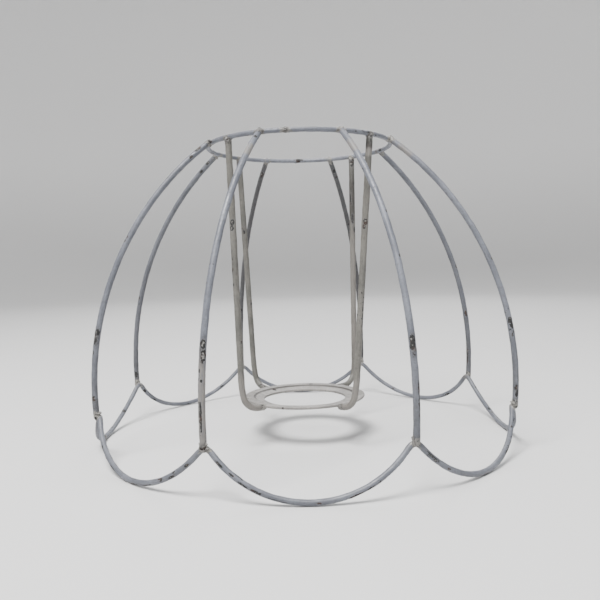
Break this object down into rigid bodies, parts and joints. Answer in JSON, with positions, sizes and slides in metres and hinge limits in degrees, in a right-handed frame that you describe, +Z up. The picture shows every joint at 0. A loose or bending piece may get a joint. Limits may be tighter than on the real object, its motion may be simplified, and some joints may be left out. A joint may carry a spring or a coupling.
{
  "type": "lampshade frame",
  "caption": "Domed wire lampshade frame with a plain top ring, curved ribs, a scalloped foot wire and a dropped fitter ring on bent arms, spot-welded and painted.",
  "frame": {"origin": "on the frame's axis, in the plane that the scallops stand on", "axes": "+Z up along the axis, from the foot towards the top ring; +X and +Y each point at the middle of a scallop, between two ribs"},
  "size_m": [0.2092, 0.2092, 0.149],
  "materials": {
    "cage_paint": "old white gloss paint, greyed and chipped to dark steel",
    "arm_paint": "old off-white gloss paint, greyed and chipped",
    "fitter_paint": "old off-white gloss paint, lightly chipped",
    "weld_paint": "old cream paint pooled over lumpy weld beads"
  },
  "bodies": {
    "root": {"top_ring": "cage_paint", "scalloped_ring": "cage_paint", "rib_1": "cage_paint", "rib_2": "cage_paint", "rib_3": "cage_paint", "rib_4": "cage_paint", "rib_5": "cage_paint", "rib_6": "cage_paint", "rib_7": "cage_paint", "rib_8": "cage_paint", "drop_arm_1": "arm_paint", "drop_arm_2": "arm_paint", "drop_arm_3": "arm_paint", "drop_arm_4": "arm_paint", "fitter_ring": "fitter_paint", "top_ring_butt_weld": "weld_paint", "scalloped_ring_butt_weld": "weld_paint", "rib_head_welds": "weld_paint", "rib_foot_welds": "weld_paint", "arm_head_welds": "weld_paint", "arm_foot_welds": "weld_paint"}
  },
  "joints": []
}
